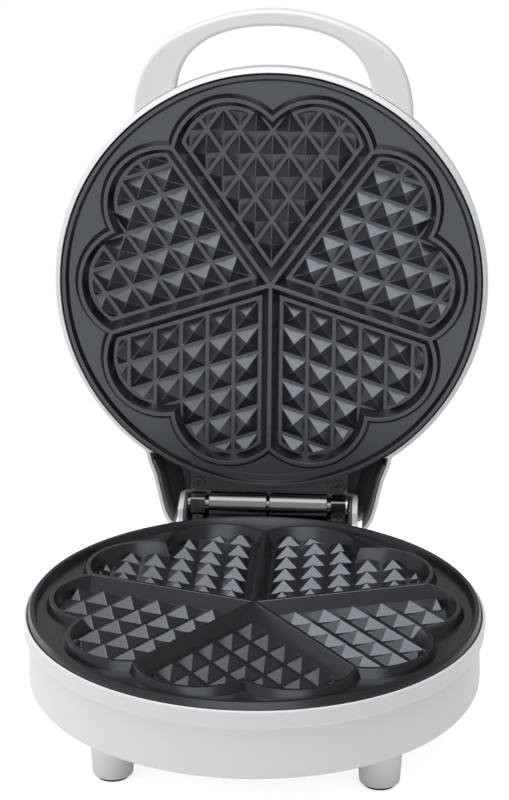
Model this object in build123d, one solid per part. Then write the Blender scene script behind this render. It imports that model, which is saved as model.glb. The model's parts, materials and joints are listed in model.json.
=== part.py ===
"""Electric heart-pattern waffle iron, open on its rear hinge.

Millimetres, +Z up, X along the hinge, the handle side towards -Y.
Every piece is built about the axis of the base drum, and the lid is built closed and then swung
back about the hinge to its rest pose. All of it is then moved so that the origin is on the surface
that the feet stand on, under the middle of the open iron.
"""
from build123d import *
from math import atan2, cos, hypot, radians, sin, sqrt
import os

# ---- driving dimensions -------------------------------------------------------------------
# heights above the standing surface
RIDGE_TOP = 56.5          # top of the ridges of the lower plate
PLATE_GAP = 0.4           # between the two plates' ridges when the lid is closed
DRUM_BOTTOM = 20.5        # underside of the base drum
CREASE_Z = 44.5           # groove under the flared rim of the base
BASE_LIP = 53.2           # top of the base's flared rim
LID_LIP = 57.8            # lower edge of the closed lid
LID_TOP = 95.5            # crown of the closed lid
DRUM_Y = -29.45           # the drum's axis, in front of the middle of the open iron

# hinge
HINGE_Y = 106.5
HINGE_Z = 58.3
OPEN_ANGLE = 96.0
PIN_R = 2.5
PIN_FIT = 0.06            # radial running clearance on the pin
KNUCKLE_R = 5.2
BLOCK_HALF = 3.8          # half height of the square end blocks
LEAF_T = 1.5
LEAF_DROP = 5.7           # from the axis to the near face of a leaf
LONG_KNUCKLE = (0.7, 28.0)
SHORT_KNUCKLE = (29.9, 36.7)
LEAF_HALF = 37.4
SCREW_X = 33.1
BASE_SCREW_Y = 99.6
TAB_SCREW_Y = 96.9

# waffle relief, measured down from the top of the ridges
CAVITY = 6.0              # depth of the heart-shaped cavities
LAND = 3.8                # depth of the flat between hearts and rim
UNDERSIDE = 9.0           # depth of the casting's underside
PITCH = 13.0              # side of one rhombic cell
CHANNEL = 1.8             # flat channel between pyramids
TOOTH = 4.0               # height of a pyramid
HEARTS = 5
HALF_ANGLE = 180.0 / HEARTS
EDGE_OFFSET = 5.0         # from a divider's centre line to the channel beside it
LOBE_A, LOBE_B = 59.2, 19.5   # centre of a lobe, along and across the heart's axis
LOBE_R = 22.5             # radius of the channel along a lobe
EDGE_RUN = 3.2            # slope of the cavity wall beside a divider
LOBE_RUN = 2.4            # slope of the cavity wall round a lobe
RIDGE_W = 1.9
OUTER_RUN = 1.7           # slope of the ridge's outer wall

# plates
LOWER_RIM = dict(inner=96.2, outer=98.0, flange=99.1)
UPPER_RIM = dict(inner=95.9, outer=97.7, flange=98.2)
RIM_DROP = 0.5            # the rim lies this far under the ridges
BOSS_R = 84.0             # pitch radius of the plate bosses
BOSS_ANGLES = (20, 160, 200, 340)
ELEMENT_R = 62.0
ELEMENT_TUBE = 3.3
RIB_HALF = 9.0            # half width of the rib that carries the element
CLAMP_ANGLES = (0, 180, 235, 305)
CLAMP_SCREW = 6.7         # from the element's centre line to a clamp screw
ELEMENT_Z = -13.0
SHIELD_T = 0.8
SHIELD_DEPTH = 19.8       # from ridge top to the back of the heat shield
SHIELD_R = 92.0

# shells
WALL = 2.4
DRUM_R = 99.2
BASE_RIM_R = 100.9
LID_R = 101.0
CHEEK_OUT, CHEEK_IN = 42.5, 39.9
CHEEK_FRONT = 99.3        # the tower's side walls start here
CHEEK_LOW = 58.2          # their top at the front, from which it rises to TOWER_TOP
TOWER_TOP = 60.5
TOWER_BACK = 119.2
TOWER_CORNER = 5.0
LINER_T = 1.2
TAIL_TOP = 86.0           # roof of the lid's rear extension
TAIL_OPENING = 76.6       # its back wall starts at this height
TAIL = [(58.9, 79.4), (57.2, 86.6), (54.8, 92.8), (53.1, 100), (51.8, 106.2),
        (50.4, 111.4), (48.4, 115.6), (45.4, 119.2), (40.3, 121.6), (34.3, 122.5)]
GLAND_Z = 29.0

# feet
FOOT_TOP_R, FOOT_R = 9.9, 8.6
FRONT_FEET = (56.5, -57.5)
REAR_FEET = (31.0, 90.0)
PAD_T = 1.6

# handle, seen in the plane of the closed lid
HANDLE_LOW, HANDLE_PART, HANDLE_HIGH = 60.6, 67.5, 74.4
HANDLE_SCREW_X = 56.0
HANDLE_SCREW_Z = (65.0, 71.0)
HANDLE_SEAT = -80.8       # Y of the seats of the handle's screws
HANDLE_EDGE = 1.8
HANDLE_OUT = [(64.5, -74.4), (63.4, -88.2), (56.4, -105.2), (38.7, -118), (0, -126.8)]
HANDLE_IN = [(45, -84.4), (43.9, -96.3), (35.2, -109.5), (16, -118), (0, -119.5)]

# indicator lamps, on top of the closed lid
LENS_X = (-10.0, 10.0)
LENS_Y = -70.0

TAB_BACK = RIDGE_TOP + PLATE_GAP - HINGE_Z - LEAF_DROP   # back of the tab, from the ridges
TILT = radians(HALF_ANGLE)


# ---- small helpers ------------------------------------------------------------------------
def drum(radius, z0, z1, x=0.0, y=0.0):
    """Upright cylinder between two heights."""
    return Pos(x, y, (z0 + z1) / 2) * Cylinder(radius, z1 - z0)


def block(x0, x1, y0, y1, z0, z1):
    return Pos((x0 + x1) / 2, (y0 + y1) / 2, (z0 + z1) / 2) * Box(x1 - x0, y1 - y0, z1 - z0)


def bar(radius, x0, x1, y=HINGE_Y, z=HINGE_Z):
    """Cylinder along X, by default on the hinge axis."""
    return Pos((x0 + x1) / 2, y, z) * (Rot(0, 90, 0) * Cylinder(radius, x1 - x0))


def spun(points):
    """Solid of revolution about Z from (radius, height) corners."""
    face = make_face(Polyline(*[(r, 0, z) for r, z in points], close=True))
    return revolve(face, Axis.Z)


def both(x, y):
    return [(x, y), (-x, y)]


def pan_screw(x, y, z, up, length, head_r=3.4, head_h=2.2, shank_r=1.9):
    """Screw whose head's seat is at z and whose shank points up (+1) or down (-1)."""
    head = drum(head_r, min(z, z - up * head_h), max(z, z - up * head_h), x, y)
    shank = drum(shank_r, min(z, z + up * length), max(z, z + up * length), x, y)
    slot_z = z - up * head_h
    recess = [block(x - 1.8, x + 1.8, y - 0.35, y + 0.35, slot_z - 0.9, slot_z + 0.9),
              block(x - 0.35, x + 0.35, y - 1.8, y + 1.8, slot_z - 0.9, slot_z + 0.9)]
    return head + shank - recess


# ---- the waffle relief --------------------------------------------------------------------
def lobe_arc(start, end, radius, side):
    """Lobe of a heart that points along +X; side is +1 or -1."""
    centre = (LOBE_A, side * LOBE_B)
    a0 = atan2(start[1] - centre[1], start[0] - centre[0])
    a1 = atan2(end[1] - centre[1], end[0] - centre[0])
    mid = (a0 + a1) / 2
    point = (centre[0] + radius * cos(mid), centre[1] + radius * sin(mid))
    return ThreePointArc(start, point, end)


def heart(edge, lobe):
    """Heart outline along +X: the channel's centre line, moved out by edge and lobe."""
    radius = LOBE_R + lobe
    apex = (EDGE_OFFSET - edge) / sin(TILT)
    # the straight edge runs from the apex at HALF_ANGLE until it meets the lobe's circle
    dx, dy = LOBE_A - apex, LOBE_B
    along = dx * cos(TILT) + dy * sin(TILT)
    reach = along + sqrt(along ** 2 - (dx ** 2 + dy ** 2 - radius ** 2))
    shoulder = (apex + reach * cos(TILT), reach * sin(TILT))
    cusp = (LOBE_A + sqrt(radius ** 2 - LOBE_B ** 2), 0)
    below = (shoulder[0], -shoulder[1])
    outline = [Line((apex, 0), shoulder), lobe_arc(shoulder, cusp, radius, 1),
               lobe_arc(cusp, below, radius, -1), Line(below, (apex, 0))]
    return make_face(outline)


def star(lobe):
    """Outline round all five hearts, with a notch at each divider and each cusp."""
    radius = LOBE_R + lobe
    off = LOBE_A * sin(TILT) - LOBE_B * cos(TILT)
    notch = LOBE_A * cos(TILT) + LOBE_B * sin(TILT) + sqrt(radius ** 2 - off ** 2)
    left = (notch * cos(TILT), notch * sin(TILT))
    right = (left[0], -left[1])
    cusp = (LOBE_A + sqrt(radius ** 2 - LOBE_B ** 2), 0)
    pair = [lobe_arc(right, cusp, radius, -1), lobe_arc(cusp, left, radius, 1)]
    edges = [Rot(0, 0, 2 * HALF_ANGLE * k) * arc for k in range(HEARTS) for arc in pair]
    return make_face(edges)


def tooth(a, b):
    """One pyramid of the relief, on a rhombic foot that reaches into the casting."""
    half = (PITCH - CHANNEL) / 2
    u = (half * cos(TILT), half * sin(TILT))
    corners = [(a + su * u[0] + sv * u[0], b + su * u[1] - sv * u[1])
               for su, sv in ((1, 1), (1, -1), (-1, -1), (-1, 1))]
    low = [Vector(x, y, -CAVITY - 1) for x, y in corners]
    foot = [Vector(x, y, -CAVITY) for x, y in corners]
    tip = Vector(a, b, TOOTH - CAVITY)
    faces = [Face(Wire.make_polygon(low))]
    for k in range(4):
        n = (k + 1) % 4
        faces.append(Face(Wire.make_polygon([low[k], low[n], foot[n], foot[k]])))
        faces.append(Face(Wire.make_polygon([foot[k], foot[n], tip])))
    return Solid(Shell(faces))


def heart_teeth():
    """The pyramids of one heart; those at the lobes are cut off upright by its outline."""
    limit = extrude(heart(0, -CHANNEL / 2), TOOTH + 2)
    limit = Pos(0, 0, -CAVITY - 1) * limit
    apex = EDGE_OFFSET / sin(TILT)
    teeth = []
    for i in range(1, 7):
        for j in range(1, 7):
            if i + j > 8 or i == j == 4:
                continue
            a = apex + PITCH * (i + j - 1) * cos(TILT)
            b = PITCH * (i - j) * sin(TILT)
            piece = tooth(a, b)
            if max(i, j) > 4:
                teeth += (limit & piece).solids()
            else:
                teeth.append(piece)
    return teeth


def relief():
    """Ridges, cavities and pyramids as one block, with a heart towards -Y."""
    wide = RIDGE_W + LOBE_RUN + CHANNEL / 2
    ridge = loft([Pos(0, 0, -LAND) * star(wide + OUTER_RUN), star(wide)], ruled=True)
    cavity = loft([Pos(0, 0, -CAVITY) * heart(CHANNEL / 2, CHANNEL / 2),
                   heart(CHANNEL / 2 + EDGE_RUN, CHANNEL / 2 + LOBE_RUN)], ruled=True)
    teeth = heart_teeth()
    turns = [Rot(0, 0, -90 + 2 * HALF_ANGLE * k) for k in range(HEARTS)]
    body = turns[0] * ridge + drum(90, -UNDERSIDE, -LAND)
    body = body - [turn * cavity for turn in turns]
    return body + [turn * piece for turn in turns for piece in teeth]


def cast_plate(block_relief, rim):
    """A whole plate: rim, land, relief, and the rib and bosses of the underside."""
    top = -RIM_DROP
    disc = spun([(0, -UNDERSIDE), (rim["flange"] - 2.8, -UNDERSIDE),
                 (rim["flange"] - 2.8, -6.2), (rim["flange"], -4.8),
                 (rim["flange"], -3.1), (rim["outer"], top), (rim["inner"], top),
                 (rim["inner"] - 1.3, -LAND), (0, -LAND)])
    disc = disc - drum(89, -UNDERSIDE - 1, 0)
    rib = drum(ELEMENT_R + RIB_HALF, ELEMENT_Z, -UNDERSIDE)
    rib = rib - drum(ELEMENT_R - RIB_HALF, ELEMENT_Z - 1, 0)
    groove = Pos(0, 0, ELEMENT_Z) * Torus(ELEMENT_R, ELEMENT_TUBE + 0.05)
    body = block_relief + disc + rib
    for x, y in boss_places():
        body = body + drum(4.5, -SHIELD_DEPTH + SHIELD_T, -UNDERSIDE, x, y)
    for x, y in boss_places():
        body = body - drum(1.95, -SHIELD_DEPTH, -UNDERSIDE - 1, x, y)
    for x, y in clamp_screw_places():
        body = body - drum(1.25, ELEMENT_Z - 1, ELEMENT_Z + 4, x, y)
    return body - groove


def boss_places():
    return [(BOSS_R * cos(radians(a)), BOSS_R * sin(radians(a))) for a in BOSS_ANGLES]


def heating_element():
    """Tubular element: an open ring with its two ends turned down to the terminals."""
    gap = 14.0
    ring = Pos(0, 0, ELEMENT_Z) * Torus(ELEMENT_R, ELEMENT_TUBE)
    wedge = make_face(Polyline((0, 0, 0), (-120 * sin(radians(gap)), 120 * cos(radians(gap)), 0),
                               (120 * sin(radians(gap)), 120 * cos(radians(gap)), 0), close=True))
    ring = ring - Pos(0, 0, ELEMENT_Z - 5) * extrude(wedge, 10)
    for x, y in element_ends(gap):
        ring = ring + Pos(x, y, ELEMENT_Z) * Sphere(ELEMENT_TUBE)
        ring = ring + drum(ELEMENT_TUBE, ELEMENT_Z - 3.4, ELEMENT_Z, x, y)
        ring = ring + drum(1.2, ELEMENT_Z - 10.5, ELEMENT_Z - 3.4, x, y)
    return ring


def element_ends(gap=14.0):
    return both(ELEMENT_R * sin(radians(gap)), ELEMENT_R * cos(radians(gap)))


def clamp_screw_places():
    places = []
    for angle in CLAMP_ANGLES:
        for radius in (ELEMENT_R - CLAMP_SCREW, ELEMENT_R + CLAMP_SCREW):
            places.append((radius * cos(radians(angle)), radius * sin(radians(angle))))
    return places


def element_clamps():
    """Steel straps that press the element into its groove."""
    straps = []
    outer, inner = ELEMENT_TUBE + 1.0, ELEMENT_TUBE + 0.3
    bridge = Rot(90, 0, 0) * (Cylinder(outer, 9) - Cylinder(inner, 10))
    strap = block(-8.8, 8.8, -4.5, 4.5, -0.8, 0) + (bridge & block(-9, 9, -9, 9, -9, 0))
    strap = strap - block(-inner, inner, -9, 9, -1, 1)
    strap = strap + (bridge & block(-9, 9, -9, 9, -9, 0))
    strap = strap - drum(1.3, -2, 1, CLAMP_SCREW) - drum(1.3, -2, 1, -CLAMP_SCREW)
    for angle in CLAMP_ANGLES:
        straps.append(Rot(0, 0, angle) * (Pos(ELEMENT_R, 0, ELEMENT_Z) * strap))
    return straps


def clamp_screws():
    return [pan_screw(x, y, ELEMENT_Z - 0.8, 1, 4.5, 2.3, 1.5, 1.2)
            for x, y in clamp_screw_places()]


def heat_shield(centre_hole):
    """Aluminium pan behind a plate, pierced for the element's ends and the bosses' screws."""
    low = -SHIELD_DEPTH
    pan = spun([(0, low), (SHIELD_R, low), (SHIELD_R, low + 9), (SHIELD_R - SHIELD_T, low + 9),
                (SHIELD_R - SHIELD_T, low + SHIELD_T), (0, low + SHIELD_T)])
    for x, y in boss_places():
        pan = pan - drum(2.1, low - 1, low + 2, x, y)
    for x, y in element_ends():
        pan = pan - drum(5.0, low - 1, low + 2, x, y)
    if centre_hole:
        pan = pan - drum(centre_hole, low - 1, low + 2)
    return pan


def lead(points, bend, radius=1.3):
    """Insulated wire along straight runs with rounded corners."""
    path = FilletPolyline(*points, radius=bend)
    section = Plane(origin=path @ 0, z_dir=path % 0) * Circle(radius)
    return sweep(section, path=path)


# ---- hinge --------------------------------------------------------------------------------
def hinge_leaf(side):
    """One half of the hinge in its base pose: leaf below, long knuckle on one side."""
    long_in, long_out = LONG_KNUCKLE
    short_in, short_out = SHORT_KNUCKLE
    top = HINGE_Z - LEAF_DROP
    front, back = HINGE_Y - 4.9, HINGE_Y + 6.3
    leaf = block(-LEAF_HALF, LEAF_HALF, front, back, top - LEAF_T, top)
    for x in (-SCREW_X, SCREW_X):
        leaf = leaf + block(x - 4.3, x + 4.3, front - 9.9, back, top - LEAF_T, top)
    x0, x1 = sorted((side * long_in, side * long_out))
    knuckle = bar(KNUCKLE_R, x0, x1) + block(x0, x1, HINGE_Y - 3.2, HINGE_Y + 3.2,
                                             top - LEAF_T, HINGE_Z - 3)
    x0, x1 = sorted((-side * short_in, -side * short_out))
    end = block(x0, x1, HINGE_Y - BLOCK_HALF, HINGE_Y + BLOCK_HALF,
                HINGE_Z - BLOCK_HALF, HINGE_Z + BLOCK_HALF)
    end = fillet(end.edges().filter_by(Axis.X), 0.9)
    end = end + block(x0, x1, HINGE_Y - 2.6, HINGE_Y + 2.6, top - LEAF_T, HINGE_Z)
    return leaf + knuckle + end - bar(PIN_R + PIN_FIT, -50, 50)


def base_hinge_leaf():
    leaf = hinge_leaf(-1) - drum(100.3, 40, 60)
    for x, y in both(SCREW_X, BASE_SCREW_Y):
        leaf = leaf - drum(1.95, 40, 56, x, y)
    return leaf


def lid_hinge_leaf():
    """The same half, turned over; its leaf lies on the upper plate's tab."""
    flip = Pos(0, HINGE_Y, HINGE_Z) * Rot(0, 180, 0) * Pos(0, -HINGE_Y, -HINGE_Z)
    leaf = flip * hinge_leaf(-1)
    leaf = leaf - block(-50, 50, HINGE_Y + 3.2, 130, 60, 80) - drum(96.0, 60, 80)
    leaf = leaf - block(-28.4, 28.4, 80, 100.6, 60, 80)
    for x, y in both(SCREW_X, TAB_SCREW_Y):
        leaf = leaf - drum(1.95, 60, 70, x, y)
    return leaf


def hinge_pin():
    return bar(PIN_R, -37.0, 37.6) + bar(3.6, -38.0, -37.0)


def pin_clip():
    return bar(4.0, 36.9, 37.6) - bar(PIN_R, 30, 40) - block(36, 39, HINGE_Y - 1.6,
                                                               HINGE_Y + 1.6, 50, HINGE_Z)


# ---- base ---------------------------------------------------------------------------------
def foot_places():
    return both(*FRONT_FEET) + both(*REAR_FEET)


def base_outer():
    """Outside of the drum and of its flared rim."""
    rim = BASE_RIM_R
    return spun([(0, DRUM_BOTTOM), (95.6, DRUM_BOTTOM), (97.8, DRUM_BOTTOM + 0.8),
                 (99.0, DRUM_BOTTOM + 2.6), (DRUM_R, DRUM_BOTTOM + 5), (98.6, CREASE_Z - 0.3),
                 (98.9, CREASE_Z + 0.2), (rim - 0.9, CREASE_Z + 0.5), (rim - 0.3, CREASE_Z + 1.3),
                 (rim, BASE_LIP - 0.8), (rim - 0.5, BASE_LIP), (0, BASE_LIP)])


def base_inner():
    floor = DRUM_BOTTOM + WALL
    return spun([(0, floor), (94.0, floor), (DRUM_R - WALL, floor + 3), (96.3, CREASE_Z),
                 (98.0, CREASE_Z + 2.6), (99.5, CREASE_Z + 4), (99.5, 70), (0, 70)])


def tower_form(half, front, back, corner, drop):
    """The hinge tower as one solid: a top that rises towards the back, and two rounded rear corners."""
    low, high = CHEEK_LOW - drop, TOWER_TOP - drop
    profile = [(front, DRUM_BOTTOM + 0.6), (front, low), (back - 5, high), (back, high),
               (back, DRUM_BOTTOM + 0.6)]
    side = make_face(Polyline(*[(-half, y, z) for y, z in profile], close=True))
    form = extrude(side, amount=2 * half, dir=(1, 0, 0))
    return fillet(form.edges().filter_by(Axis.Z).group_by(Axis.Y)[-1], corner)


def base_shell():
    floor = DRUM_BOTTOM + WALL
    body = base_outer() + block(-CHEEK_OUT, CHEEK_OUT, 60, CHEEK_FRONT + 1, DRUM_BOTTOM + 0.6, 52.6)
    body = body + tower_form(CHEEK_OUT, CHEEK_FRONT, TOWER_BACK, TOWER_CORNER, 0)
    for x, y in foot_places():
        foot = Pos(x, y, (PAD_T + floor) / 2) * Cone(FOOT_R, FOOT_TOP_R, floor - PAD_T)
        body = body + foot
    body = body - base_inner()
    inside = block(-CHEEK_IN, CHEEK_IN, 60, TOWER_BACK - WALL, floor, 80)
    body = body - fillet(inside.edges().filter_by(Axis.Z).group_by(Axis.Y)[-1], TOWER_CORNER - 2.5)
    for x, y in foot_places():
        body = body - drum(FOOT_R - 2.4, 5.2, floor + 1, x, y)
        body = body - drum(7.0, 0, PAD_T + 1.0, x, y)
    for x, y in boss_places():
        body = body + drum(6.2, DRUM_BOTTOM + 1, RIDGE_TOP - SHIELD_DEPTH, x, y)
        body = body - drum(2.2, 0, 50, x, y) - drum(4.2, 0, 29.5, x, y)
    for x in (-20, -12, -4, 4, 12, 20):
        for y in (-36, 34):
            body = body - block(x - 1.4, x + 1.4, y - 14, y + 14, 0, floor + 1)
    body = body - Pos(0, TOWER_BACK, GLAND_Z) * (Rot(90, 0, 0) * Cylinder(4.9, 12))
    return body


def foot_pads():
    return [drum(6.95, 0, PAD_T + 1.0, x, y) for x, y in foot_places()]


def base_hinge_housing():
    """Black tray in the tower: the deck under the leaf, and a lining round the three walls."""
    top = HINGE_Z - LEAF_DROP - LEAF_T
    side, back = CHEEK_IN - 0.1, TOWER_BACK - WALL - 0.1
    whole = tower_form(side, 88, back, TOWER_CORNER - 2.5, 0.6)
    deck = whole & block(-side, side, 88, back, top - 3, top)
    lining = whole & block(-side, side, CHEEK_FRONT + 0.4, back, top - 3, 80)
    lining = lining - block(-side + 1.4, side - 1.4, 80, back - 1.4, top, 80)
    deck = deck + (whole & block(-side, side, back - 1.6, back, top - 14, top))
    tray = deck + lining - drum(100.3, 40, 80)
    for x, y in both(SCREW_X, BASE_SCREW_Y):
        tray = tray + (drum(4.2, top - 11, top - 3, x, y) - drum(100.3, 30, 80))
        tray = tray - drum(1.9, top - 10, top + 1, x, y)
    return tray


def base_hinge_screws():
    seat = HINGE_Z - LEAF_DROP
    return [pan_screw(x, y, seat, -1, 9.5, 2.7, 1.9, 1.85) for x, y in both(SCREW_X, BASE_SCREW_Y)]


def lower_plate():
    plate = Pos(0, 0, RIDGE_TOP) * cast_plate(relief(), LOWER_RIM)
    return plate - block(-60, 60, 98.5, 130, 30, 70)


def lower_plate_screws():
    return [pan_screw(x, y, 29.5, 1, 14.5, 3.9, 2.4, 1.9) for x, y in boss_places()]


def thermostat():
    """Disc thermostat against the plate's underside, with its two tabs."""
    seat = RIDGE_TOP - UNDERSIDE
    body = drum(9.5, seat - 1.2, seat) + drum(8.0, seat - 12, seat - 1.2)
    for x in (-5, 5):
        body = body + block(x - 0.4, x + 0.4, -2.4, 2.4, seat - 19, seat - 12)
    return body


def thermal_fuse():
    """Cylindrical fuse in a ceramic sleeve, clipped to the floor of the base."""
    floor = DRUM_BOTTOM + WALL
    cradle = block(21, 27, 14, 30, floor, floor + 3.2)
    sleeve = Pos(24, 22, floor + 6) * (Rot(90, 0, 0) * Cylinder(3.2, 20))
    return cradle + sleeve


def terminal_block():
    floor = DRUM_BOTTOM + WALL
    body = block(-13, 13, 84, 95, floor, floor + 9)
    for x in (-8, 0, 8):
        body = body - drum(2.0, floor + 5, floor + 10, x, 86.5) - drum(2.0, floor + 5, floor + 10, x, 92.5)
        body = body - Pos(x, 89.5, floor + 4) * (Rot(90, 0, 0) * Cylinder(1.5, 20))
    return body


def base_leads():
    """Four leads: terminals to fuse and element, fuse to thermostat to element."""
    z = DRUM_BOTTOM + WALL + 4
    end = RIDGE_TOP + ELEMENT_Z - 10.5
    seat = RIDGE_TOP - UNDERSIDE
    ex, ey = element_ends()[0]
    tab = seat - 19
    return [
        lead([(-8, 84, z), (-8, 74, z), (-ex, ey + 3, z), (-ex, ey, z + 3), (-ex, ey, end)], 1.8),
        lead([(8, 84, z), (8, 72, z), (24, 48, z + 2), (24, 32.2, z + 2)], 4.5),
        lead([(24, 11.8, z + 2), (24, 2, z + 2), (12, -4, z), (5, 0, z - 1), (5, 0, tab)], 1.6),
        lead([(-5, 0, tab), (-5, 0, z - 1), (-8, 8, z - 1), (-4, 40, z - 1), (ex, ey - 4, z),
              (ex, ey, z + 3), (ex, ey, end)], 1.6),
    ]


def cord_gland():
    """Bushing in the tower's back wall, with a flange on each side and a bore for the cord."""
    def ring(radius, y0, y1):
        return Pos(0, (y0 + y1) / 2, GLAND_Z) * (Rot(90, 0, 0) * Cylinder(radius, y1 - y0))
    back = TOWER_BACK
    bush = ring(4.85, back - WALL, back) + ring(6.0, back, back + 2.2) + ring(4.8, back, back + 5)
    bush = bush + ring(5.6, back - WALL - 1.8, back - WALL)
    return bush - ring(3.4, back - 20, back + 20)


# ---- lid, in its closed pose --------------------------------------------------------------
def tail_face(inset, z):
    """Outline of the lid's rear extension, moved inwards by inset on three sides."""
    chain = TAIL[:1] + TAIL + [(-TAIL[-1][0], TAIL[-1][1])]
    right = []
    for before, (x, y), after in zip(chain, chain[1:], chain[2:]):
        along_x, along_y = after[0] - before[0], after[1] - before[1]
        run = hypot(along_x, along_y)
        right.append((x - inset * along_y / run, y + inset * along_x / run))
    left = [(-x, y) for x, y in reversed(right)]
    outline = right + left + [(left[-1][0], 40), (right[0][0], 40)]
    return make_face(Polyline(*[(x, y, z) for x, y in outline], close=True))


def lid_tail(inset, z0, z1):
    knee = z1 - 7
    body = loft([tail_face(inset, z0), tail_face(inset + 1.2, knee)], ruled=True)
    return body + loft([tail_face(inset + 1.2, knee), tail_face(inset + 7.5, z1)], ruled=True)


def dome(inset, z0):
    """Revolved outside of the lid, or its inside when inset by the wall."""
    r, top = LID_R - inset, LID_TOP - inset
    shoulder = 21.0
    centre = (r - shoulder - 0.3, top - 3.3 - shoulder)
    c = cos(radians(45)) * shoulder
    # the crown falls gently from the middle to the shoulder
    outline = [Line((0, z0), (r, z0)), Line((r, z0), (centre[0] + shoulder, centre[1])),
               ThreePointArc((centre[0] + shoulder, centre[1]), (centre[0] + c, centre[1] + c),
                             (centre[0], centre[1] + shoulder)),
               Spline((centre[0], centre[1] + shoulder), (0, top), tangents=[(-1, 0), (-1, 0)]),
               Line((0, top), (0, z0))]
    return revolve(Plane.XZ * make_face(outline), Axis.Z)


def lid_shell():
    # the lip slopes up and outwards from its inner edge
    slope = spun([(98.9, LID_LIP), (LID_R + 1, LID_LIP), (LID_R + 1, LID_LIP + 3.5)])
    body = (dome(0, LID_LIP) - slope) + lid_tail(0, LID_LIP, TAIL_TOP)
    body = body - dome(WALL, LID_LIP - 1)
    inner_tail = lid_tail(1.6, LID_LIP - 1, TAIL_TOP - WALL) & block(-70, 70, 82, 130, 0, 200)
    body = body - inner_tail
    # the rear is open for the hinge tower, and the back wall starts above the base's tower
    body = body - block(-44.5, 44.5, 80, 114.2, 40, 69.8)
    body = body - block(-44.5, 44.5, 112.2, 130, 40, TAIL_OPENING)
    # posts for the heat shield and the plate, and bosses for the tab's screws
    mirror_z = RIDGE_TOP + PLATE_GAP
    for x, y in boss_places():
        body = body + (drum(6.2, mirror_z + SHIELD_DEPTH, 100, x, y) & dome(WALL / 2, 60))
        body = body - drum(1.95, mirror_z + SHIELD_DEPTH - 1, mirror_z + SHIELD_DEPTH + 8, x, y)
    for x in LENS_X:
        body = body - drum(4.0, 80, 100, x, LENS_Y)
    # the grip's two ends are screwed on through the wall
    for x in (-HANDLE_SCREW_X, HANDLE_SCREW_X):
        for z in HANDLE_SCREW_Z:
            body = body + (drum_y(3.2, -90, HANDLE_SEAT, x, z) & dome(WALL / 2, 60))
        for z in HANDLE_SCREW_Z:
            body = body - drum_y(2.6, HANDLE_SEAT, -60, x, z) - drum_y(1.8, -110, -60, x, z)
    return body


def drum_y(radius, y0, y1, x, z):
    """Cylinder along Y."""
    return Pos(x, (y0 + y1) / 2, z) * (Rot(90, 0, 0) * Cylinder(radius, y1 - y0))


def lid_hinge_liner():
    """Black lining of the rear extension, open below and towards the plate."""
    outside = lid_tail(1.9, LID_LIP + 1.0, TAIL_TOP - WALL - 0.3)
    inside = lid_tail(1.9 + LINER_T, LID_LIP, TAIL_TOP - WALL - 0.3 - LINER_T)
    liner = outside - inside
    liner = liner & block(-70, 70, 86, 130, 0, 200)
    liner = liner - block(-45.0, 45.0, 80, 114.2, 40, 69.8)
    liner = liner - block(-45.0, 45.0, 111.2, 130, 40, TAIL_OPENING + 0.4)
    return liner


def upper_tab():
    """Rear tab of the upper plate, in the plate's own frame with the relief upwards."""
    tab = block(-37, 37, 84, 100.4, TAB_BACK, -3.1)
    tab = fillet(tab.edges().filter_by(Axis.Z).group_by(Axis.Y)[-1], 3)
    return tab


def upper_plate():
    plate = cast_plate(relief(), UPPER_RIM)
    plate = plate + (upper_tab() - drum(92, -20, 5))
    for x, y in both(SCREW_X, TAB_SCREW_Y):
        plate = plate - drum(2.0, -20, 5, x, y)
    return plate


def closed_lid(part):
    """From a plate's own frame to the closed lid: turned over about Y."""
    return Pos(0, 0, RIDGE_TOP + PLATE_GAP) * (Rot(0, 180, 0) * part)


def upper_tab_screws():
    return [pan_screw(x, y, -3.1, -1, 7.5, 2.9, 1.9, 1.85) for x, y in both(SCREW_X, TAB_SCREW_Y)]


def tab_nuts():
    nuts = []
    for x, y in both(SCREW_X, TAB_SCREW_Y):
        nut = Pos(x, y, TAB_BACK - LEAF_T - 1.6) * extrude(RegularPolygon(3.6, 6), 1.6)
        nuts.append(nut - drum(1.85, -12, 0, x, y))
    return nuts


def upper_shield_screws():
    return [drum(1.9, -SHIELD_DEPTH - 7, -SHIELD_DEPTH + 8, x, y) for x, y in boss_places()]


def lamp(x):
    """Neon lamp behind one lens, with its two wires."""
    bulb = drum(2.3, 82.9, 89.7, x, LENS_Y)
    for dx in (-1.1, 1.1):
        bulb = bulb + drum(0.4, 80.5, 82.9, x + dx, LENS_Y)
    return bulb


def lens(x):
    """Small lens: a rim on the crown and a stem through the wall."""
    return drum(5.0, 91.5, 94.0, x, LENS_Y) - dome(0, 80) + drum(3.9, 90.0, 93.8, x, LENS_Y)


def lid_leads():
    z = RIDGE_TOP + PLATE_GAP + SHIELD_DEPTH + 3.0
    ex, ey = element_ends()[0]
    end = RIDGE_TOP + PLATE_GAP - ELEMENT_Z + 10.5
    leads = []
    for s in (-1, 1):
        leads.append(lead([(s * 8, 106, z + 1), (s * 8, 84, z + 1), (s * ex, ey + 4, end + 2.4),
                           (s * ex, ey, end + 2.4), (s * ex, ey, end)], 1.2))
    return leads


def handle_outline(points):
    """Closed face between the plate's side and a spline through half an outline."""
    right = points[:-1]
    whole = right + [points[-1]] + [(-x, y) for x, y in reversed(right)]
    curve = Spline(*whole)
    first, last = whole[0], whole[-1]
    return make_face([curve, Polyline(last, (last[0], 0), (first[0], 0), first)])


def handle_band(z0, z1):
    band = extrude(Pos(0, 0, z0) * handle_outline(HANDLE_OUT), z1 - z0)
    band = band - extrude(Pos(0, 0, z0 - 1) * handle_outline(HANDLE_IN), z1 - z0 + 2)
    return band


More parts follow.
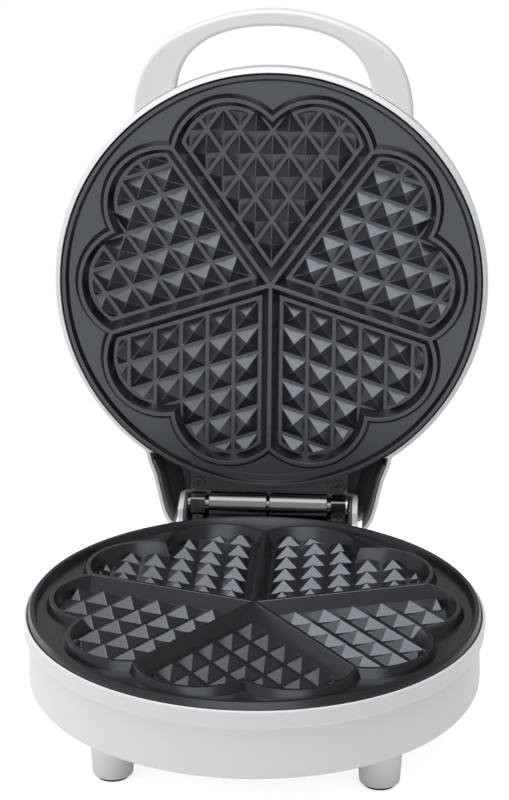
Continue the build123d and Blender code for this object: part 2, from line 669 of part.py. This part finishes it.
def handle_half(z0, z1, screw_z):
    """One moulded half of the grip, cut to the side of the lid."""
    band = handle_band(z0, z1)
    face = z0 if z1 == HANDLE_PART else z1
    rounded = band.edges().filter_by_position(Axis.Z, face - 0.01, face + 0.01)
    band = fillet(rounded.filter_by(GeomType.BSPLINE), HANDLE_EDGE)
    band = band - drum(LID_R + 0.1, 50, 90)
    for x in (-HANDLE_SCREW_X, HANDLE_SCREW_X):
        band = band - drum_y(1.5, -100, -60, x, screw_z)
    return band


def handle_grip():
    return handle_half(HANDLE_LOW, HANDLE_PART, HANDLE_SCREW_Z[0])


def handle_cover():
    return handle_half(HANDLE_PART, HANDLE_HIGH, HANDLE_SCREW_Z[1])


def handle_screws():
    screws = []
    for x in (-HANDLE_SCREW_X, HANDLE_SCREW_X):
        for z in HANDLE_SCREW_Z:
            screws.append(drum_y(2.4, HANDLE_SEAT, HANDLE_SEAT + 1.4, x, z)
                          + drum_y(1.45, HANDLE_SEAT - 16, HANDLE_SEAT, x, z))
    return screws


# ---- put together and write ---------------------------------------------------------------
def group(name, pieces):
    if not isinstance(pieces, list):
        pieces = [pieces]
    solids = [Pos(0, DRUM_Y, 0) * solid for piece in pieces for solid in piece.solids()]
    whole = Compound(children=solids) if len(solids) > 1 else solids[0]
    whole.label = name
    export_step(whole, "parts/" + name + ".step")


def in_base(part):
    return Pos(0, 0, RIDGE_TOP) * part


def opened(part):
    """Swing a piece of the closed lid back about the hinge to the rest pose."""
    swing = Pos(0, HINGE_Y, HINGE_Z) * Rot(-OPEN_ANGLE, 0, 0) * Pos(0, -HINGE_Y, -HINGE_Z)
    if isinstance(part, list):
        return [swing * piece for piece in part]
    return swing * part


def every(turn, pieces):
    return [turn(piece) for piece in pieces]


os.makedirs("parts", exist_ok=True)

group("base_shell", base_shell())
group("foot_pads", foot_pads())
group("lower_plate", lower_plate())
group("lower_heating_element", in_base(heating_element()))
group("lower_element_clamps", every(in_base, element_clamps()))
group("lower_clamp_screws", every(in_base, clamp_screws()))
group("lower_heat_shield", in_base(heat_shield(11.0)))
group("lower_plate_screws", lower_plate_screws())
group("thermostat", thermostat())
group("thermal_fuse", thermal_fuse())
group("terminal_block", terminal_block())
group("base_leads", base_leads())
group("cord_gland", cord_gland())
group("base_hinge_housing", base_hinge_housing())
group("base_hinge_leaf", base_hinge_leaf())
group("base_hinge_screws", base_hinge_screws())
group("hinge_pin", hinge_pin())
group("pin_clip", pin_clip())

group("lid_shell", opened(lid_shell()))
group("lid_hinge_liner", opened(lid_hinge_liner()))
group("lid_hinge_leaf", opened(lid_hinge_leaf()))
group("upper_plate", opened(closed_lid(upper_plate())))
group("upper_heating_element", opened(closed_lid(heating_element())))
group("upper_element_clamps", opened(every(closed_lid, element_clamps())))
group("upper_clamp_screws", opened(every(closed_lid, clamp_screws())))
group("upper_heat_shield", opened(closed_lid(heat_shield(0))))
group("upper_plate_studs", opened(every(closed_lid, upper_shield_screws())))
group("upper_tab_screws", opened(every(closed_lid, upper_tab_screws())))
group("upper_tab_nuts", opened(every(closed_lid, tab_nuts())))
group("lid_leads", opened(lid_leads()))
group("indicator_lens_red", opened(lens(LENS_X[0])))
group("indicator_lens_green", opened(lens(LENS_X[1])))
group("indicator_lamps", opened([lamp(x) for x in LENS_X]))
group("handle_grip", opened(handle_grip()))
group("handle_cover", opened(handle_cover()))
group("handle_screws", opened(handle_screws()))
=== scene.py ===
# %% [markdown]
# # An electric waffle iron for five hearts
#
# The iron stands open. Two cast plates with a waffle relief face each other across a rear hinge, each in
# a white plastic shell. The machine parts come from the CAD model, so this script gives them their edges,
# their finishes, their light and the camera. Everything is in metres, in the CAD model's own frame.

# %% Load the CAD model
import json
import math

import bmesh
import bpy
from mathutils import Matrix, Vector

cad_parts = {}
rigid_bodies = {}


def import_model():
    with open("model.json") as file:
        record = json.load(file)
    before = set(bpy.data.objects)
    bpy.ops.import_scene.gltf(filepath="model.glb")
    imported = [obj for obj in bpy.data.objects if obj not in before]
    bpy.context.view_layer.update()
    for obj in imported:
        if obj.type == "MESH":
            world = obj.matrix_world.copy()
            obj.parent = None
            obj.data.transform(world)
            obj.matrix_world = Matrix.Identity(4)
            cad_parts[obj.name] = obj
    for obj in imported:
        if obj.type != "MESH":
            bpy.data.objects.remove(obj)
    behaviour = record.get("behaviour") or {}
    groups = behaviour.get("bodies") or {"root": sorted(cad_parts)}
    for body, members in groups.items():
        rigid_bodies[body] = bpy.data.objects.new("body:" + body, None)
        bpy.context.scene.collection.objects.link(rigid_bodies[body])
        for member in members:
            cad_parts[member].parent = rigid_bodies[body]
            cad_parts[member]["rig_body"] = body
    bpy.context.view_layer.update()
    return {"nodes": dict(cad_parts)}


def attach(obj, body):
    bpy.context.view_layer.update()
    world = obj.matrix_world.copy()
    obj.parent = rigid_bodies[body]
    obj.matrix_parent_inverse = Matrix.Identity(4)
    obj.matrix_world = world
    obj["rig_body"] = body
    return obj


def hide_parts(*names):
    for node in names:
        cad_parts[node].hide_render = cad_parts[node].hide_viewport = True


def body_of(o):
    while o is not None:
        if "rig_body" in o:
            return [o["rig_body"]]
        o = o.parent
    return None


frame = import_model()
nodes = frame["nodes"]
MM = 0.001

# %% [markdown]
# ## Softened edges
#
# A moulded or cast part never has a perfectly sharp edge: the small radius catches a thin line of light,
# and that line is much of what makes it look real. A CAD mesh is loose triangles, so a bevel can't find its
# edges. The way taken here is to copy the mesh, merge its doubled points, dissolve the flat triangles back
# into whole faces, and only then bevel the edges that turn by more than a chosen angle.
#
# Smooth shading alone would spread a soft gradient over every face. A flat face has one even tone, which
# shows best on the small pyramids of the waffle relief, so the truly flat faces are shaded flat and only
# the curved ones and the new roundings are smooth.


# %% A check on the rounded meshes
def worst_fold(bm):
    """How far the triangles of the worst face overlap one another, in square millimetres."""
    bm.faces.index_update()
    excess = [-face.calc_area() for face in bm.faces]
    for corners in bm.calc_loop_triangles():
        first, second, third = (corner.vert.co for corner in corners)
        excess[corners[0].face.index] += (second - first).cross(third - first).length / 2
    return max(excess) / MM ** 2


# %% A copy of a CAD node with rounded edges
DOUBLED = 0.004    # points nearer than this many millimetres are one point
IN_PLANE = 0.5     # triangles that turn by less than this many degrees are one face
SHARP = 28         # an edge that turns by more than this many degrees is rounded
GENTLE = 20        # an edge that turns by less than this many degrees is part of a curve
SHORTEST = 0.4     # shorter edges, in millimetres, are left as they are


TURNED_AWAY = -0.1    # a face that looks away by more than this is on a side or on the back
TURNED_TO = 0.3       # a face that looks at the outlook by more than this is on the front


def looks_out(edge, outlook):
    """True where one face of an edge looks along outlook and the other doesn't look away from it."""
    facing = sorted(face.normal.dot(outlook) for face in edge.link_faces)
    return facing[0] >= TURNED_AWAY and facing[1] >= TURNED_TO


def softened(node, width, outlook=None):
    """Merge a CAD node's mesh into whole faces and round its sharp outer edges.

    The width of the rounding is in millimetres. With an outlook, only the edges between faces that look
    that way are rounded.
    """
    mesh = nodes[node].data.copy()
    bm = bmesh.new()
    bm.from_mesh(mesh)
    bmesh.ops.remove_doubles(bm, verts=bm.verts, dist=DOUBLED * MM)
    bmesh.ops.dissolve_limit(bm, angle_limit=math.radians(IN_PLANE), verts=bm.verts, edges=bm.edges,
                             use_dissolve_boundaries=False)
    chosen = []
    for edge in bm.edges:
        if not edge.is_convex or edge.calc_length() < SHORTEST * MM:
            continue
        if edge.calc_face_angle() < math.radians(SHARP):
            continue
        if outlook is None or looks_out(edge, outlook):
            chosen.append(edge)
    # a face that turns sharply at all its edges is flat; one with a gentle edge is part of a curve
    for face in bm.faces:
        face.smooth = any(edge.calc_face_angle(0) < math.radians(GENTLE) for edge in face.edges)
    rounded = bmesh.ops.bevel(bm, geom=chosen, affect="EDGES", offset_type="OFFSET", offset=width * MM,
                              segments=2, profile=0.5, material=-1, clamp_overlap=False)
    fold = worst_fold(bm)
    for face in rounded["faces"]:
        face.smooth = True
    for edge in bm.edges:
        if edge.is_manifold and edge.calc_face_angle() > math.radians(SHARP):
            edge.smooth = False
    bm.to_mesh(mesh)
    bm.free()
    piece = bpy.data.objects.new(node + "_soft", mesh)
    bpy.context.scene.collection.objects.link(piece)
    weighted = piece.modifiers.new("flat faces stay flat", "WEIGHTED_NORMAL")
    weighted.mode = "FACE_AREA"
    weighted.weight = 100
    weighted.keep_sharp = True
    body = body_of(nodes[node])
    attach(piece, body if isinstance(body, str) else body[0])
    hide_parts(node)
    print(node, "rounded edges:", len(chosen), "worst fold:", round(fold, 2))
    return piece


# %% [markdown]
# ## Finishes
#
# Each finish is a small node tree on one shader. The colour is close to what the eye sees on the real
# thing, the roughness decides how wide the highlights are, and a very fine bump gives the surface its
# grain. All of them read Object coordinates, which are metres here, so a noise scale of 1000 means grains
# of about 1 mm.


# %% One helper for all the finishes
BROAD = 28.0     # noise scale of the slow changes: patches of about 36 mm
UNEVEN = 0.04    # how far the roughness drifts either way on any surface


def finish(name, colour, roughness, grain=800.0, bump=0.02, mottle=0.0, wear=0.0, **sockets):
    """A procedural finish with fine grain in its height, and a little change in colour and roughness."""
    made = bpy.data.materials.new(name)
    made.use_nodes = True
    tree = made.node_tree
    shader = tree.nodes["Principled BSDF"]
    for socket, value in sockets.items():
        shader.inputs[socket.replace("_", " ")].default_value = value
    place = tree.nodes.new("ShaderNodeTexCoord")
    fine = tree.nodes.new("ShaderNodeTexNoise")
    fine.inputs["Scale"].default_value = grain
    fine.inputs["Detail"].default_value = 3.0
    tree.links.new(place.outputs["Object"], fine.inputs["Vector"])
    broad = tree.nodes.new("ShaderNodeTexNoise")
    broad.inputs["Scale"].default_value = BROAD
    broad.inputs["Detail"].default_value = 4.0
    tree.links.new(place.outputs["Object"], broad.inputs["Vector"])
    # colour: a slow drift between a slightly darker and a slightly lighter tone
    tone = tree.nodes.new("ShaderNodeMix")
    tone.data_type = "RGBA"
    tone.inputs["A"].default_value = [c * (1 - mottle) for c in colour] + [1]
    tone.inputs["B"].default_value = [min(1, c * (1 + mottle)) for c in colour] + [1]
    tree.links.new(broad.outputs["Fac"], tone.inputs["Factor"])
    tree.links.new(tone.outputs["Result"], shader.inputs["Base Color"])
    # roughness: handled surfaces are never equally glossy all over
    gloss = tree.nodes.new("ShaderNodeMapRange")
    gloss.inputs["To Min"].default_value = roughness - UNEVEN - wear
    gloss.inputs["To Max"].default_value = roughness + UNEVEN + wear
    tree.links.new(broad.outputs["Fac"], gloss.inputs["Value"])
    tree.links.new(gloss.outputs["Result"], shader.inputs["Roughness"])
    relief = tree.nodes.new("ShaderNodeBump")
    relief.inputs["Strength"].default_value = 1.0
    relief.inputs["Distance"].default_value = bump * MM
    tree.links.new(fine.outputs["Fac"], relief.inputs["Height"])
    tree.links.new(relief.outputs["Normal"], shader.inputs["Normal"])
    return made


def paint(piece, material):
    """Give a piece one material, whatever it had."""
    piece.data.materials.clear()
    piece.data.materials.append(material)


# %% [markdown]
# The shells and the handle are moulded plastic with a satin surface: nearly white, with a wide soft highlight
# and almost no grain. The handle is a touch whiter. The lining and the hinge tray are the same kind of plastic
# in black, and the pads under the feet are rubber. A white piece looks grey when its colour is set low and the
# light high, so the colour stays near white and the light is kept low.

# %% Plastics and rubber
white_plastic = finish("white plastic", (0.83, 0.835, 0.84), 0.32, grain=1500, bump=0.004, mottle=0.008)
handle_plastic = finish("handle plastic", (0.86, 0.87, 0.885), 0.38, grain=1500, bump=0.004,
                        mottle=0.01)
black_plastic = finish("black plastic", (0.13, 0.131, 0.134), 0.42, grain=1400, bump=0.01, mottle=0.1)
rubber = finish("foot rubber", (0.02, 0.02, 0.02), 0.75, grain=1600, bump=0.03, mottle=0.2)

# %% [markdown]
# The plates are cast aluminium under a black non-stick coating. The coating is almost black in itself, and
# what the eye sees on it is the room's reflection. So its colour is very dark, its specular level is high and
# its tint slightly blue. A grey colour would be simpler, but then all faces of the relief would look alike.
# The hinge and the pin are polished dark steel, and the screws in view are blackened.

# %% Coating and metals
coating = finish("non-stick coating", (0.011, 0.012, 0.014), 0.27, grain=2200, bump=0.004, mottle=0.06,
                 wear=0.01, IOR=1.6, Specular_IOR_Level=1.0, Specular_Tint=(0.84, 0.91, 1.0, 1.0))
dark_chrome = finish("polished hinge steel", (0.18, 0.185, 0.195), 0.24, grain=900, bump=0.002, mottle=0.04,
                     Metallic=1.0)
black_steel = finish("blackened screw steel", (0.035, 0.035, 0.037), 0.33, grain=1500, bump=0.006,
                     mottle=0.1)
plain_steel = finish("plain steel", (0.55, 0.55, 0.56), 0.3, grain=900, bump=0.004, mottle=0.05,
                     Metallic=1.0)
sheet = finish("rolled aluminium sheet", (0.72, 0.73, 0.74), 0.32, grain=700, bump=0.004, mottle=0.04,
               Metallic=1.0)

# %% [markdown]
# The rest is inside the shells or on top of the lid: heater tubes that the heat has oxidised, glazed ceramic
# for the thermostat and the terminals, glass-fibre sleeves on the leads, and the two lamps with their lenses.

# %% Inner parts and lamps
heater = finish("oxidised heater tube", (0.16, 0.15, 0.14), 0.5, grain=1300, bump=0.02, mottle=0.25,
                Metallic=1.0)
ceramic = finish("glazed ceramic", (0.72, 0.70, 0.64), 0.3, grain=900, bump=0.01, mottle=0.05)
sleeve = finish("glass-fibre sleeve", (0.58, 0.54, 0.44), 0.8, grain=2600, bump=0.05, mottle=0.1)
red_lens = finish("red lens", (0.55, 0.02, 0.015), 0.2, grain=600, bump=0.002, mottle=0.05)
green_lens = finish("green lens", (0.03, 0.30, 0.06), 0.2, grain=600, bump=0.002, mottle=0.05)
lamp_glass = finish("lamp glass", (0.85, 0.75, 0.65), 0.1, grain=300, bump=0.001, mottle=0.02)
print("finishes:", len(bpy.data.materials))

# %% [markdown]
# ## Dressing the pieces
#
# The pieces in view get softened edges. The lid's shell takes the smallest rounding, because its sloped
# lip ends in an edge only 0.3 mm wide. The pieces shut inside the shells, such as the heaters and the
# wiring, are never seen, so they keep their plain CAD form and only take a finish.

# %% Shells, handle, hinge and feet
for node, width, material in (
    ("base_shell", 0.5, white_plastic),
    ("lid_shell", 0.12, white_plastic),
    ("handle_grip", 0.35, handle_plastic),
    ("handle_cover", 0.35, handle_plastic),
    ("lid_hinge_liner", 0.3, black_plastic),
    ("base_hinge_housing", 0.3, black_plastic),
    ("base_hinge_leaf", 0.3, dark_chrome),
    ("lid_hinge_leaf", 0.3, dark_chrome),
    ("base_hinge_screws", 0.25, black_steel),
    ("upper_tab_screws", 0.25, black_steel),
    ("foot_pads", 0.3, rubber),
    ("cord_gland", 0.3, black_plastic),
    ("indicator_lens_red", 0.3, red_lens),
    ("indicator_lens_green", 0.3, green_lens),
):
    paint(softened(node, width), material)

# %% [markdown]
# Each plate has five heart-shaped hollows full of small pyramids, which press the squares into the waffles.
# Casting and coating round every ridge a little. Only the side with the relief is rounded here, as the back
# is never seen, so each plate gets an outlook: up for the lower plate, and forwards and a little up for the
# open upper plate.

# %% The two cast plates
OPENING = math.radians(96)    # from closed to open
towards_user = Vector((0, -math.sin(OPENING), -math.cos(OPENING)))
paint(softened("lower_plate", 0.22, outlook=Vector((0, 0, 1))), coating)
paint(softened("upper_plate", 0.22, outlook=towards_user), coating)

# %% Pieces that keep their CAD form
HIDDEN_FINISHES = {
    "hinge_pin": dark_chrome, "pin_clip": plain_steel,
    "lower_heating_element": heater, "upper_heating_element": heater,
    "lower_element_clamps": plain_steel, "upper_element_clamps": plain_steel,
    "lower_clamp_screws": plain_steel, "upper_clamp_screws": plain_steel,
    "lower_heat_shield": sheet, "upper_heat_shield": sheet,
    "lower_plate_screws": plain_steel, "upper_plate_studs": plain_steel,
    "upper_tab_nuts": plain_steel, "handle_screws": plain_steel,
    "thermostat": ceramic, "thermal_fuse": ceramic, "terminal_block": ceramic,
    "base_leads": sleeve, "lid_leads": sleeve, "indicator_lamps": lamp_glass,
}
for node, material in HIDDEN_FINISHES.items():
    paint(nodes[node], material)
print("pieces that keep their CAD form:", len(HIDDEN_FINISHES))

# %% [markdown]
# ## Floor, light and camera
#
# The iron stands in a white room. The floor is a pale sheet; what the camera sees of it is lifted to white,
# and the soft shadow under the feet stays. One large softbox overhead and a pale sky do the lighting: broad
# sources give the slow gradients that satin plastic and coated metal need.


# %% Floor
FLOOR_HALF = 0.45    # half the side of the sheet


def white_room(name, lift, mirrored):
    """A pale matte sheet that the camera, and reflections a little, see brighter than it is lit."""
    made = bpy.data.materials.new(name)
    made.use_nodes = True
    tree = made.node_tree
    shader = tree.nodes["Principled BSDF"]
    shader.inputs["Base Color"].default_value = (0.9, 0.9, 0.9, 1)
    shader.inputs["Roughness"].default_value = 0.9
    shader.inputs["Specular IOR Level"].default_value = 0.0
    rays = tree.nodes.new("ShaderNodeLightPath")
    seen = tree.nodes.new("ShaderNodeMath")
    seen.operation = "MAXIMUM"
    tree.links.new(rays.outputs["Is Camera Ray"], seen.inputs[0])
    tree.links.new(rays.outputs["Is Transmission Ray"], seen.inputs[1])
    direct = tree.nodes.new("ShaderNodeMath")
    direct.operation = "MULTIPLY"
    direct.inputs[1].default_value = lift
    tree.links.new(seen.outputs[0], direct.inputs[0])
    amount = tree.nodes.new("ShaderNodeMath")
    amount.operation = "MULTIPLY_ADD"
    amount.inputs[1].default_value = mirrored
    tree.links.new(rays.outputs["Is Glossy Ray"], amount.inputs[0])
    tree.links.new(direct.outputs[0], amount.inputs[2])
    shader.inputs["Emission Color"].default_value = (1, 1, 1, 1)
    tree.links.new(amount.outputs[0], shader.inputs["Emission Strength"])
    return made


bm = bmesh.new()
bmesh.ops.create_grid(bm, x_segments=1, y_segments=1, size=FLOOR_HALF)
floor_mesh = bpy.data.meshes.new("floor")
bm.to_mesh(floor_mesh)
bm.free()
floor = bpy.data.objects.new("floor", floor_mesh)
bpy.context.scene.collection.objects.link(floor)
paint(floor, white_room("floor sheet", lift=0.74, mirrored=0.12))
print("floor side in mm:", 2 * FLOOR_HALF / MM)


# %% [markdown]
# The sky does two jobs. As a light it is a pale grey that is stronger from the left, which shapes the drum.
# In reflections it works like a white studio: a bright window in front, a bright wall behind on the left,
# and dim grey elsewhere. The difference is what makes one face of each small pyramid bright and the next
# one dark, as a satin black coating shows mostly what it reflects.

# %% Sky
world = bpy.data.worlds.new("sky")
bpy.context.scene.world = world
world.use_nodes = True
sky_nodes = world.node_tree.nodes
sky_links = world.node_tree.links
sky = sky_nodes["Background"]


def sky_math(operation, first, second):
    """One maths node of the sky; each input is a socket or a number."""
    node = sky_nodes.new("ShaderNodeMath")
    node.operation = operation
    for socket, value in zip(node.inputs, (first, second)):
        if isinstance(value, (int, float)):
            socket.default_value = value
        else:
            sky_links.new(value, socket)
    return node.outputs[0]


def sky_ramp(value, low, high, start, end):
    """Blend smoothly from start to end as value goes from low to high."""
    node = sky_nodes.new("ShaderNodeMapRange")
    node.interpolation_type = "SMOOTHSTEP"
    node.inputs["From Min"].default_value = low
    node.inputs["From Max"].default_value = high
    node.inputs["To Min"].default_value = start
    node.inputs["To Max"].default_value = end
    sky_links.new(value, node.inputs["Value"])
    return node.outputs["Result"]


# %% What the sky gives as light, in reflections and to the camera
LIGHT_LEFT, LIGHT_RIGHT = 0.95, 0.36      # strength as a light, from either side
WINDOW = 1.02                             # strength of the window in front, in reflections
WALL = 1.3                                # strength of the wall behind on the left, in reflections
DIM_LEFT, DIM_RIGHT = 0.33, 0.17          # strength of the rest, in reflections
PAPER = 1.0                               # strength behind the iron, to the camera

direction = sky_nodes.new("ShaderNodeTexCoord").outputs["Generated"]
split = sky_nodes.new("ShaderNodeSeparateXYZ")
sky_links.new(direction, split.inputs[0])
right, back = split.outputs["X"], split.outputs["Y"]
aside = sky_math("ABSOLUTE", right, 0.0)
rays = sky_nodes.new("ShaderNodeLightPath")
seen = sky_math("MAXIMUM", rays.outputs["Is Camera Ray"], rays.outputs["Is Transmission Ray"])

ambient = sky_ramp(right, low=-0.9, high=0.2, start=LIGHT_LEFT, end=LIGHT_RIGHT)
window = sky_math("MULTIPLY", sky_ramp(aside, low=0.30, high=0.55, start=WINDOW, end=0.0),
                  sky_ramp(back, low=-0.5, high=0.0, start=1.0, end=0.0))
wall = sky_math("MULTIPLY", sky_ramp(back, low=0.25, high=0.5, start=0.0, end=WALL),
                sky_ramp(right, low=-0.55, high=-0.25, start=1.0, end=0.0))
dim = sky_ramp(right, low=-0.5, high=0.5, start=DIM_LEFT, end=DIM_RIGHT)
studio = sky_math("MAXIMUM", sky_math("MAXIMUM", window, wall), dim)
reflected = sky_math("MULTIPLY", sky_math("SUBTRACT", studio, ambient), rays.outputs["Is Glossy Ray"])
shown = sky_math("MULTIPLY", sky_math("SUBTRACT", PAPER, ambient), seen)
strength = sky_math("ADD", sky_math("ADD", ambient, reflected), shown)
sky_links.new(strength, sky.inputs["Strength"])
sky.inputs["Color"].default_value = (1, 1, 1, 1)
world.cycles.sampling_method = "NONE"
print("sky nodes:", len(sky_nodes))


# %% Softbox
def softbox(name, place, aim, wide, deep, watts):
    """A rectangular area lamp that points at a spot."""
    lamp = bpy.data.lights.new(name, "AREA")
    lamp.shape = "RECTANGLE"
    lamp.size = wide
    lamp.size_y = deep
    lamp.energy = watts
    holder = bpy.data.objects.new(name, lamp)
    holder.location = place
    holder.rotation_euler = (Vector(aim) - Vector(place)).to_track_quat("-Z", "Y").to_euler()
    bpy.context.scene.collection.objects.link(holder)
    return holder


overhead = softbox("overhead softbox", place=(0.0, -0.17, 1.25), aim=(0.0, -0.15, 0.0), wide=1.2, deep=0.9,
                   watts=9.2)
print("softbox height in mm:", round(overhead.location.z / MM))

# %% [markdown]
# A long lens from a little over a metre away shows the round plates without stretching their near side, as
# a short lens close up would. The camera stands slightly to the right and looks down by 20 degrees, so that
# both plates are in view.

# %% Camera
STANDPOINT = (0.06205, -1.06908, 0.52712)
AZIMUTH, ELEVATION, ROLL = 3.432, 19.915, 0.185
SENSOR, FOCAL = 36.0, 117.34    # the sensor's longer side and the focal length, in millimetres

turn = Matrix.Rotation(math.radians(AZIMUTH), 4, "Z")
tip = Matrix.Rotation(math.radians(90 - ELEVATION), 4, "X")
roll = Matrix.Rotation(math.radians(ROLL), 4, "Z")
lens = bpy.data.cameras.new("camera")
lens.sensor_width = SENSOR
lens.lens = FOCAL
lens.clip_start = 0.05
camera = bpy.data.objects.new("camera", lens)
camera.matrix_world = Matrix.Translation(STANDPOINT) @ turn @ tip @ roll
bpy.context.scene.collection.objects.link(camera)
bpy.context.scene.camera = camera
bpy.context.scene.view_settings.view_transform = "Standard"
print("camera distance in mm:", round(Vector(STANDPOINT).length / MM))
